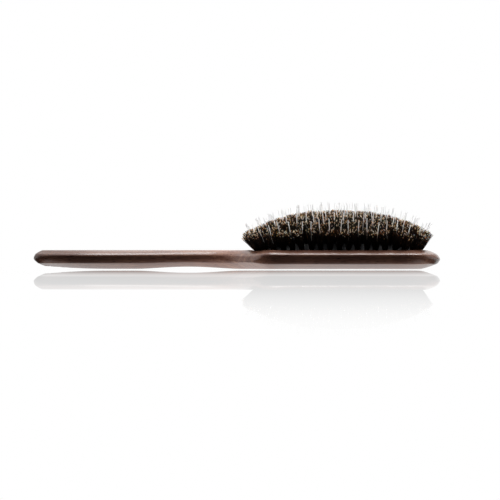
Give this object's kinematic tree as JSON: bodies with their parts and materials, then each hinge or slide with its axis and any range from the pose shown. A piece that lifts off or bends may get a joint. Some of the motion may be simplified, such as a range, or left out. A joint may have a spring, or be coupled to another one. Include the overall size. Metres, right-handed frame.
{
  "type": "paddle brush",
  "caption": "Wooden paddle hairbrush: a flat rounded head on a necked handle, with a domed air-cushion rubber pad that carries rings of boar bristle tufts and longer nylon quills.",
  "frame": {"origin": "centre of the bottom of the bounding box, on the surface that the brush's flat back lies on", "axes": "+X from the handle to the head, +Z from the back to the bristles, +Y across the head"},
  "size_m": [0.243, 0.078, 0.0403],
  "materials": {
    "lacquered_walnut": "dark walnut under clear gloss lacquer",
    "black_rubber": "matt moulded rubber",
    "boar_bristle": "natural dark bristle with paler brown tips",
    "clear_nylon": "drawn translucent nylon",
    "tinned_wire": "drawn and tinned"
  },
  "bodies": {
    "paddle": {"paddle_body": "lacquered_walnut", "cushion_pad": "black_rubber"},
    "ring_1": {"bristle_ring_1": "boar_bristle", "quill_ring_1": "clear_nylon", "wire_ring_1": "tinned_wire"},
    "ring_2": {"bristle_ring_2": "boar_bristle", "quill_ring_2": "clear_nylon", "wire_ring_2": "tinned_wire"},
    "ring_3": {"bristle_ring_3": "boar_bristle", "quill_ring_3": "clear_nylon", "wire_ring_3": "tinned_wire"},
    "ring_4": {"bristle_ring_4": "boar_bristle", "quill_ring_4": "clear_nylon", "wire_ring_4": "tinned_wire"},
    "ring_5": {"bristle_ring_5": "boar_bristle", "quill_ring_5": "clear_nylon", "wire_ring_5": "tinned_wire"},
    "centre_row": {"bristle_centre_row": "boar_bristle", "quill_centre_row": "clear_nylon", "wire_centre_row": "tinned_wire"}
  },
  "joints": [
    {"name": "centre_press", "type": "slide", "parent": "paddle", "child": "centre_row", "axis": [0, 0, -1], "range_m": [0, 0.0054], "stiffness_N_per_m": 600, "deforming": ["cushion_pad"]},
    {"name": "ring_1_press", "type": "slide", "parent": "paddle", "child": "ring_1", "axis": [0, 0, -1], "range_m": [0, 0.00101], "stiffness_N_per_m": 600, "deforming": ["cushion_pad"]},
    {"name": "ring_2_press", "type": "slide", "parent": "paddle", "child": "ring_2", "axis": [0, 0, -1], "range_m": [0, 0.00261], "stiffness_N_per_m": 600, "deforming": ["cushion_pad"]},
    {"name": "ring_3_press", "type": "slide", "parent": "paddle", "child": "ring_3", "axis": [0, 0, -1], "range_m": [0, 0.00381], "stiffness_N_per_m": 600, "deforming": ["cushion_pad"]},
    {"name": "ring_4_press", "type": "slide", "parent": "paddle", "child": "ring_4", "axis": [0, 0, -1], "range_m": [0, 0.00465], "stiffness_N_per_m": 600, "deforming": ["cushion_pad"]},
    {"name": "ring_5_press", "type": "slide", "parent": "paddle", "child": "ring_5", "axis": [0, 0, -1], "range_m": [0, 0.00516], "stiffness_N_per_m": 600, "deforming": ["cushion_pad"]}
  ],
  "couplings": [
    {"joint": "ring_1_press", "follows": "centre_press", "ratio": 0.186},
    {"joint": "ring_2_press", "follows": "centre_press", "ratio": 0.483},
    {"joint": "ring_3_press", "follows": "centre_press", "ratio": 0.705},
    {"joint": "ring_4_press", "follows": "centre_press", "ratio": 0.861},
    {"joint": "ring_5_press", "follows": "centre_press", "ratio": 0.955}
  ]
}
